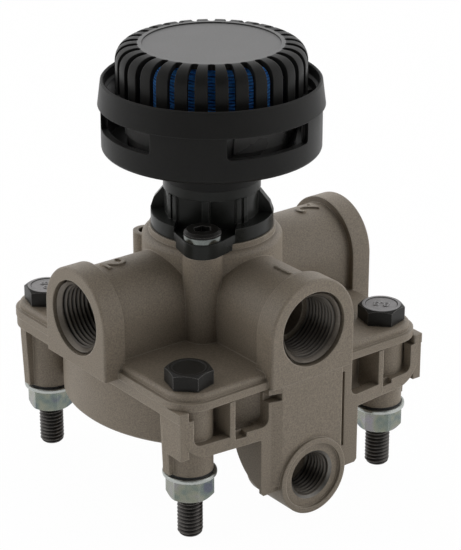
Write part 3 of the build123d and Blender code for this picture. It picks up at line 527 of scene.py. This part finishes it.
def port_thread(face, radius, mouth, start, length, height):
    """Internal thread with the cone that leads into it, mouth being the cone's radius and depth."""
    place = port_frame(face)
    count = 64
    levels = thread_rows(start, start + length, PORT_PITCH, 8)
    verts = ring_rows([mouth], count, place)
    crests = [1.0] * count
    for z in levels:
        ease = min(1.0, (z - start) / (0.6 * PORT_PITCH))
        for j in range(count):
            a = angle_at(j, count)
            crest = ease * thread_wave(z, -a, PORT_PITCH)
            r = radius - 0.02 - height * crest
            crests.append(max(crest, 1.0 - 2.0 * ease))
            verts.append(place(r * math.cos(a), r * math.sin(a), z))
    faces = grid_faces(len(levels) + 1, count)
    thread = mesh_piece("thread_" + face, verts, faces, thread_metal, smooth=50.0)
    # The relief sets the painted shade in the thread's grooves
    keep_relief(thread, crests)


def control_chamfer():
    """Bare metal on the control port's chamfer, laid just over the solid's."""
    count, lift, wide, outer_depth, inner_depth = 64, 0.03, 0.9, 1.0, 1.9
    rows = [(CONTROL_R + wide - lift, outer_depth - lift), (CONTROL_R + lift, inner_depth - lift)]
    verts = ring_rows(rows, count, port_frame("control"))
    faces = grid_faces(len(rows), count)
    mesh_piece("chamfer_control", verts, faces, chamfer_metal, smooth=40.0)


for face in ("left", "right", "front"):
    port_thread(face, PORT_R, mouth=(PORT_R + 0.95, 0.9), start=2.0, length=13.0, height=0.75)
port_thread("control", CONTROL_R, mouth=(CONTROL_R + 0.1, 1.75), start=1.9, length=10.0,
            height=0.7)
control_chamfer()


# Silencer


def wound_filter():
    """Thread wound crosswise on the filter, as relief on a round body."""
    body_r, bore_r, low, high = 18.1, 10.6, 110.2, 136.7
    fine_starts, fine_step = 9, 1.05
    cross_starts, cross_step, cross_share = 14, 2.6, 0.8
    shoulder_z, shoulder_h, shoulder_in = 134.0, 2.7, 0.05
    strand_h, groove_shade_power = 0.55, 1.6
    rows, columns = 260, 240
    verts, lifts = [], []
    for i in range(rows):
        z = low + (high - low) * i / (rows - 1)
        for j in range(columns):
            a = angle_at(j, columns)
            u = fine_starts * a / (2 * math.pi) + (z - low) / fine_step
            v = cross_starts * a / (2 * math.pi) - (z - low) / cross_step
            fine, cross = abs(math.cos(math.pi * u)), abs(math.cos(math.pi * v))
            lift = max(fine, cross_share * cross ** 3)
            shoulder = 1.0 - max(0.0, (z - shoulder_z) / shoulder_h) ** 2 * shoulder_in
            r = (body_r + strand_h * lift) * shoulder
            verts.append((r * math.cos(a), r * math.sin(a), z))
            # The relief kept here only sets the painted shade between strands; the radius takes the
            # plain lift
            lifts.append(lift ** groove_shade_power)
    verts += ring_rows([(bore_r, high)], columns)
    lifts += [0.5] * columns
    faces = grid_faces(rows + 1, columns)
    winding = mesh_piece("wound_filter", verts, faces, filter_thread, smooth=60.0)
    keep_relief(winding, lifts)
    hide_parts("filter_element")


def rib_cage():
    """The cage on the solid's radii and height, with round slot ends and a softer shoulder."""
    top, low, foot = 140.3, 126.1, 121.5
    outer_r, ring_r, centre_r, slot_start, half_slot = 29.65, 21.4, 0.5, 22.5, 1.15
    side_wall, top_wall, outer_drop, inner_drop, bend = 1.6, 1.8, 6.4, 5.2, 2.6
    recess, ring_line = 0.35, 0.12
    count, per_rib, arc_steps, side_steps, round_columns = 30, 8, 14, 4, 240
    turn = math.radians(5.0)
    inner_r = outer_r - side_wall

    def crown(r, reach, drop):
        x = max(0.0, (r - slot_start) / (reach - slot_start))
        return top - drop * (1.0 - max(0.0, 1.0 - x ** bend) ** (1 / bend))

    def profile(reach, drop, under):
        """Over the shoulder and down the side, as (radius, height)."""
        points = []
        for k in range(arc_steps + 1):
            swing = math.sin(math.radians(90 * k / arc_steps))
            r = reach - (reach - slot_start) * (1.0 - swing)
            points.append((r, crown(r, reach, drop) - under))
        edge = top - drop - under
        points += [(reach, edge - (edge - low) * k / side_steps) for k in range(1, side_steps + 1)]
        return points

    # Each row has the outer radius and height, then the inner ones
    tips = [slot_start + half_slot * f for f in (0.0, 0.06, 0.2, 0.45, 0.75)]
    rows = [(r, crown(r, outer_r, outer_drop), r, crown(r, inner_r, inner_drop) - top_wall)
            for r in tips]
    outer = profile(outer_r, outer_drop, 0.0)
    inner = profile(inner_r, inner_drop, top_wall)
    rows += [(*o, *i) for o, i in zip(outer, inner) if o[0] > tips[-1] + 0.2]

    verts, faces = [], []
    columns = count * (per_rib + 1)

    def half_angle(r, row):
        """Half a slot's angle, which rounds it off at its start."""
        if row == len(rows) - 1:
            return math.asin(half_slot / r)
        reach = min(half_slot, r - slot_start)
        width = math.sqrt(max(0.0, half_slot ** 2 - (half_slot - reach) ** 2))
        return math.asin(min(0.99, width / r))

    def rib_points(r, z, half):
        rib = 2 * math.pi / count - 2 * half
        for sector in range(count):
            for j in range(per_rib + 1):
                a = turn + angle_at(sector, count) + half + rib * j / per_rib
                verts.append((r * math.cos(a), r * math.sin(a), z))

    for row, (r_out, z_out, r_in, z_in) in enumerate(rows):
        half = half_angle(r_out, row)
        rib_points(r_out, z_out, half)
        rib_points(r_in, z_in, half)
    for row in range(len(rows) - 1):
        for sector in range(count):
            base = row * 2 * columns + sector * (per_rib + 1)
            for j in range(per_rib):
                a = base + j
                faces.append((a, a + 2 * columns, a + 2 * columns + 1, a + 1))
                c = a + columns
                faces.append((c, c + 1, c + 2 * columns + 1, c + 2 * columns))
            for j, order in ((0, 1), (per_rib, -1)):
                a = base + j
                quad = (a, a + columns, a + 3 * columns, a + 2 * columns)
                faces.append(quad[::order])

    def full_ring(points):
        start = len(verts)
        verts.extend(ring_rows(points, round_columns))
        faces.extend(grid_faces(len(points), round_columns, start))
        return start

    full_ring([(outer_r, low), (outer_r, foot), (inner_r, foot), (inner_r, low), (outer_r, low)])
    full_ring([(slot_start, top - top_wall), (centre_r, top - top_wall)])
    disc = full_ring([(centre_r, top - recess), (ring_r - ring_line, top - recess),
                      (ring_r, top), (slot_start, top)])
    faces.append(tuple(range(disc, disc + round_columns)))
    cage = mesh_piece("rib_cage", verts, faces, silencer_plastic, smooth=38.0)
    work = bmesh.new()
    work.from_mesh(cage.data)
    bmesh.ops.remove_doubles(work, verts=work.verts, dist=0.00002)
    bmesh.ops.recalc_face_normals(work, faces=work.faces)
    work.to_mesh(cage.data)
    work.free()
    # Painted sheen: the flat upward faces inside the slots' start get the lighter plastic
    top_sheen_r = (slot_start + 0.3) * MM
    second_material(cage, top_sheen_plastic,
                    lambda poly: poly.normal.z > 0.98 and poly.center.xy.length < top_sheen_r)
    cage.data.set_sharp_from_angle(angle=math.radians(38))
    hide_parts("silencer_cage")


wound_filter()
rib_cage()


def flange_nut(name, x, y):
    """Hexagon nut with a round flange, chamfered at its free end, open for the thread."""
    count, half = 72, HEX_FLATS / 2
    chamfer_r, lip, rim_z = 6.35, 22.15, 20.75
    flange = [(8.15, 20.8), (8.35, 21.05), (8.4, 21.4), (8.35, lip - 0.2), (8.15, lip),
              (7.32, lip), (7.32, 21.5), (4.05, 21.5), (4.05, NUT_Z + 0.5)]
    rows = [
        lambda a: (4.0, NUT_Z + 0.5),
        lambda a: (4.6, NUT_Z),
        lambda a: (min(chamfer_r, hex_radius(a)), NUT_Z),
        lambda a: (hex_radius(a), NUT_Z + 0.6 * max(0.0, hex_radius(a) - chamfer_r)),
        lambda a: (hex_radius(a), 20.2 - 0.5 * (hex_radius(a) - half)),
        lambda a: (max(7.6, hex_radius(a)), 20.6),
    ]
    rows += [lambda a, point=point: point for point in flange]
    verts = turned_rows(rows, count, x, y)
    nut = mesh_piece(name, verts, grid_faces(len(rows), count), zinc, smooth=30.0)
    second_material(nut, zinc_rim, lambda poly: poly.center.z > rim_z * MM)
    return nut


nuts = [flange_nut("nut_%d" % index, x, y) for index, (x, y) in enumerate(BOLTS)]
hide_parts("flange_nuts")


# Painted reflection: bright bands round the heads of the neck's screws, a head's radius in from
# their box
SCREW_HEAD_R = 5.8
BAND_ROWS = [(5.86, 84.05), (5.92, 84.3), (5.92, 85.5), (5.86, 85.8)]
screw_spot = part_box("neck_screws")[1][0] / MM - SCREW_HEAD_R
for index, side in enumerate((-1, 1)):
    verts = ring_rows(BAND_ROWS, 64,
                      lambda a, b, c: (side * screw_spot + a, side * screw_spot + b, c))
    faces = grid_faces(len(BAND_ROWS), 64)
    mesh_piece("screw_reflection_band_%d" % index, verts, faces, painted_reflection_metal, smooth=60.0)

# Painted light in the coves behind the silencer's windows: a paler plastic, found by radius in mm
# and height in m
COVE_R = (25.2, 30.5)
COVE_Z = (0.1086, 0.1208)


def in_cove(poly):
    reach = poly.center.xy.length
    outward = poly.normal.xy.dot(poly.center.xy) / max(reach, MM)
    return (COVE_R[0] * MM < reach < COVE_R[1] * MM and COVE_Z[0] < poly.center.z < COVE_Z[1]
            and outward > 0.55 and poly.normal.z < 0.0)


second_material(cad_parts["silencer_bowl"], lit_cove_plastic, in_cove)


# Figures


def digit(name, text, size, place, right, up, height, mat):
    """An embossed figure: place is its middle, right and up its directions, in millimetres."""
    curve = bpy.data.curves.new(name, "FONT")
    curve.body = text
    curve.size = size * MM
    curve.extrude = height / 2 * MM
    curve.bevel_depth = 0.08 * MM
    curve.align_x = "CENTER"
    curve.align_y = "CENTER"
    obj = bpy.data.objects.new(name, curve)
    x = Vector(right).normalized()
    n = x.cross(Vector(up)).normalized()
    y = n.cross(x)
    o = Vector(place) * MM
    obj.matrix_world = Matrix((
        (x.x, y.x, n.x, o.x), (x.y, y.y, n.y, o.y), (x.z, y.z, n.z, o.z), (0, 0, 0, 1)))
    scene.collection.objects.link(obj)
    curve.materials.append(mat)
    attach(obj, "housing")


# The strength class on three bolt heads, each turned its own way, as bolts come to rest
MARK_TURNS = (20, 75, 130, 40)
MARK_Z = HEAD_Z + HEAD_H - 0.14
for index, (x, y) in enumerate(BOLTS):
    if not at_front(x, y):
        turn = math.radians(MARK_TURNS[index])
        right = (math.cos(turn), math.sin(turn), 0)
        up = (-right[1], right[0], 0)
        digit("grade_%d" % index, "8.8", 4.4, (x, y, MARK_Z), right, up, 0.16, worn_top)

# The ports' figures, cast on the barrels
FIGURE_Z = 76.45
FIGURE_H = 0.9
digit("figure_left", "2", 11.0, (-38.0, 0, FIGURE_Z), (0, -1, 0), (1, 0, 0), FIGURE_H, casting)
digit("figure_front", "1", 10.5, (0.2, -36.0, FIGURE_Z), (1, 0, 0), (0, 1, 0), FIGURE_H, casting)
digit("figure_right", "2", 11.0, (38.8, 0, FIGURE_Z), (0, 1, 0), (-1, 0, 0), FIGURE_H, casting)


# Camera

camera_data = bpy.data.cameras.new("camera")
camera = bpy.data.objects.new("camera", camera_data)
scene.collection.objects.link(camera)
camera.location = Vector(CAMERA_AT) * MM
camera.rotation_euler = Vector(CAMERA_LOOK).normalized().to_track_quat("-Z", "Y").to_euler()
camera_data.sensor_fit = "HORIZONTAL"
camera_data.sensor_width = SENSOR_MM
camera_data.lens = SENSOR_MM * FOCAL_PX / PHOTO_WIDTH_PX
camera_data.clip_start = 0.01
camera_data.clip_end = 20.0
scene.camera = camera


# Floor and surroundings


def white_to_camera(tree, shader_output, share, mirrored):
    """A share of the shader shown as white to the camera and, where mirrored, in reflections."""
    path = tree.nodes.new("ShaderNodeLightPath")
    seen = math_node(tree, "ADD", path.outputs["Is Glossy Ray"],
                     path.outputs["Is Transmission Ray"], clamp=True)
    seen = math_node(tree, "ADD", math_node(tree, "MULTIPLY", seen, mirrored),
                     path.outputs["Is Camera Ray"], clamp=True)
    factor = math_node(tree, "MULTIPLY", seen, share)
    glow = tree.nodes.new("ShaderNodeEmission")
    glow.inputs["Color"].default_value = (1, 1, 1, 1)
    glow.inputs["Strength"].default_value = 1.0
    blend = tree.nodes.new("ShaderNodeMixShader")
    tree.links.new(factor, blend.inputs[0])
    tree.links.new(shader_output, blend.inputs[1])
    tree.links.new(glow.outputs[0], blend.inputs[2])
    return blend.outputs[0]


def toward(tree, coords, azimuth, height):
    """How far a direction of the surroundings points to the given side: 1 there, -1 opposite."""
    a, e = math.radians(azimuth), math.radians(height)
    side = (math.cos(a) * math.cos(e), math.sin(a) * math.cos(e), math.sin(e))
    return dot_product(tree, coords, side)


def behind_object(tree, coords, slope, level):
    """1 on the side behind the object in the photograph's view, falling to 0 on the near side."""
    ahead = toward(tree, coords, VIEW_AZIMUTH, 0.0)
    return math_node(tree, "MULTIPLY_ADD", ahead, slope, level, clamp=True)


def floor_plane():
    half, below, pale = 4.0, -0.0002, 0.87
    corners = [(-half, -half), (half, -half), (half, half), (-half, half)]
    mesh = bpy.data.meshes.new("floor")
    mesh.from_pydata([(x, y, below) for x, y in corners], [], [(0, 1, 2, 3)])
    obj = bpy.data.objects.new("floor", mesh)
    scene.collection.objects.link(obj)
    mat = bpy.data.materials.new("floor")
    tree, out = empty_tree(mat, "ShaderNodeOutputMaterial")
    diffuse = tree.nodes.new("ShaderNodeBsdfDiffuse")
    diffuse.inputs[0].default_value = (pale, pale, pale, 1)
    spot = tree.nodes.new("ShaderNodeNewGeometry").outputs["Position"]
    mirrored = behind_object(tree, spot, 2.5, 0.95)
    shown = white_to_camera(tree, diffuse.outputs[0], 0.98, mirrored)
    tree.links.new(shown, out.inputs[0])
    mesh.materials.append(mat)


def world_light(base, boxes):
    """Neutral surroundings as broad soft boxes: azimuth, height, sharpness and strength of each."""
    world = bpy.data.worlds.new("world")
    scene.world = world
    tree, out = empty_tree(world, "ShaderNodeOutputWorld")
    light = tree.nodes.new("ShaderNodeBackground")
    coords = tree.nodes.new("ShaderNodeTexCoord").outputs["Generated"]
    total = base
    for azimuth, height, sharp, strength in boxes:
        near = math_node(tree, "MAXIMUM", toward(tree, coords, azimuth, height), 0.0)
        box = math_node(tree, "POWER", near, sharp)
        total = math_node(tree, "ADD", math_node(tree, "MULTIPLY", box, strength), total)
    tree.links.new(total, light.inputs["Strength"])
    mirrored = behind_object(tree, coords, 1.1, 0.8)
    tree.links.new(white_to_camera(tree, light.outputs[0], 1.0, mirrored), out.inputs[0])


BOXES = [
    (142.0, 5.0, 5.0, 2.33),
    (-38.0, 5.0, 5.0, 2.74),
    (52.0, 15.0, 5.0, 2.73),
    (97.0, 10.0, 5.0, 2.81),
    (7.0, 10.0, 5.0, 2.33),
    (52.0, 80.0, 5.0, 0.92),
]
floor_plane()
world_light(0.03, BOXES)


scene.view_settings.view_transform = "Standard"
